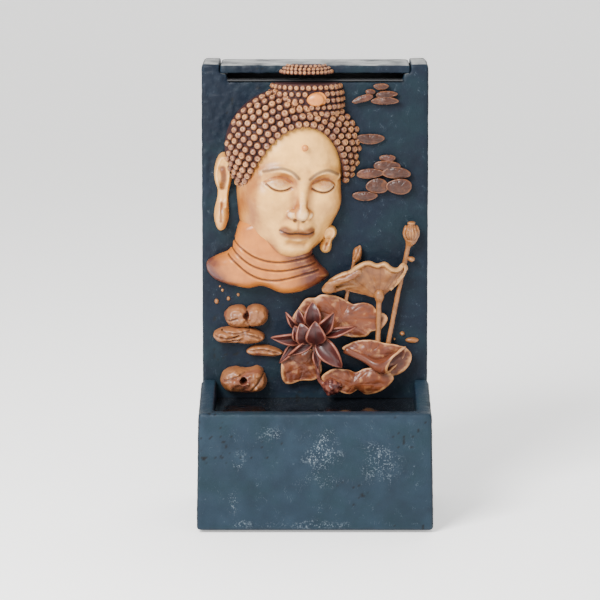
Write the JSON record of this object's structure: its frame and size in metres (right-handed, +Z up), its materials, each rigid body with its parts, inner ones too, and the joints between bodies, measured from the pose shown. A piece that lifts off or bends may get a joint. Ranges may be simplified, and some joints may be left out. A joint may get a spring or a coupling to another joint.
{
  "type": "tabletop water fountain",
  "caption": "Tabletop wall fountain: relief of a head, lotus and stones on an upright wall over a basin, with weir slot, removable lid, rear hatch and pump.",
  "frame": {"origin": "on the ground under the middle of the basin's base", "axes": "+Z up, -Y towards the viewer (the relief and the pool), +X to the viewer's right"},
  "size_m": [0.206, 0.136, 0.4],
  "materials": {
    "blue_resin": "slate-blue painted polyresin, trowelled, pitted and dry-brushed",
    "gold_resin": "antique gold and ivory paint on cast polyresin",
    "brown_resin": "dark brown paint with gold dry-brushing on cast polyresin",
    "clay_resin": "copper-brown and tan washed paint on cast polyresin",
    "plum_resin": "dark plum paint with pale dry-brushed rims",
    "black_plastic": "moulded, fine satin",
    "grey_plastic": "moulded, satin",
    "clear_vinyl": "flexible extruded vinyl",
    "rubber": "matt",
    "steel": "zinc plated",
    "magnet": "sintered ferrite",
    "ceramic": "polished ceramic"
  },
  "bodies": {
    "fountain": {"basin": "blue_resin", "brow_bead": "gold_resin", "crown_jewel": "gold_resin", "face_relief": "gold_resin", "foot_pad_front_left": "rubber", "foot_pad_front_right": "rubber", "foot_pad_rear_left": "rubber", "foot_pad_rear_right": "rubber", "hair_relief": "brown_resin", "impeller_shaft": "ceramic", "inlet_nut": "steel", "lead_clip": "black_plastic", "left_ear": "gold_resin", "lily_pad_single": "clay_resin", "lily_pads_low": "clay_resin", "lily_pads_top": "clay_resin", "lotus_bud": "clay_resin", "lotus_flower": "plum_resin", "lotus_leaf_back": "clay_resin", "lotus_leaf_curled": "clay_resin", "lotus_leaf_low_left": "clay_resin", "lotus_leaf_low_right": "clay_resin", "neck_and_shoulders": "gold_resin", "outlet_nozzle": "grey_plastic", "power_inlet": "black_plastic", "pump_housing": "black_plastic", "pump_lead": "black_plastic", "rear_bush": "rubber", "rear_cover": "black_plastic", "rear_cover_screw_1": "steel", "rear_cover_screw_2": "steel", "rear_cover_screw_3": "steel", "rear_cover_screw_4": "steel", "right_ear": "gold_resin", "riser_hose": "clear_vinyl", "seed_pod": "clay_resin", "spill_lip": "black_plastic", "stone_middle": "clay_resin", "stone_small": "clay_resin", "stone_upper": "clay_resin", "stone_waterline": "clay_resin", "suction_cup_front_left": "rubber", "suction_cup_front_right": "rubber", "suction_cup_rear_left": "rubber", "suction_cup_rear_right": "rubber", "tray_screw_left": "steel", "tray_screw_right": "steel", "umbrella_leaf": "clay_resin", "wall_panel": "blue_resin", "weir_tray": "black_plastic"},
    "rotor": {"impeller": "grey_plastic", "rotor_magnet": "magnet"},
    "strainer": {"pump_strainer": "black_plastic", "front_bush": "rubber"},
    "regulator": {"flow_regulator": "grey_plastic"},
    "lid": {"weir_lid": "blue_resin", "crown_top": "brown_resin"},
    "hatch": {"pump_hatch": "black_plastic"}
  },
  "joints": [
    {"name": "impeller_spin", "type": "hinge", "parent": "fountain", "child": "rotor", "pos_m": [0, 0.04, 0.034], "axis": [1, 0, 0], "continuous": true},
    {"name": "strainer_pull", "type": "slide", "parent": "fountain", "child": "strainer", "axis": [-1, 0, 0], "range_m": [0, 0.015]},
    {"name": "flow_regulator_turn", "type": "hinge", "parent": "strainer", "child": "regulator", "pos_m": [0, 0.04, 0.034], "axis": [1, 0, 0], "range_deg": [0, 90]},
    {"name": "weir_lid_lift", "type": "slide", "parent": "fountain", "child": "lid", "axis": [0, 0, 1], "range_m": [0, 0.05]},
    {"name": "pump_hatch_slide", "type": "slide", "parent": "fountain", "child": "hatch", "axis": [0, 0, 1], "range_m": [0, 0.075]}
  ]
}
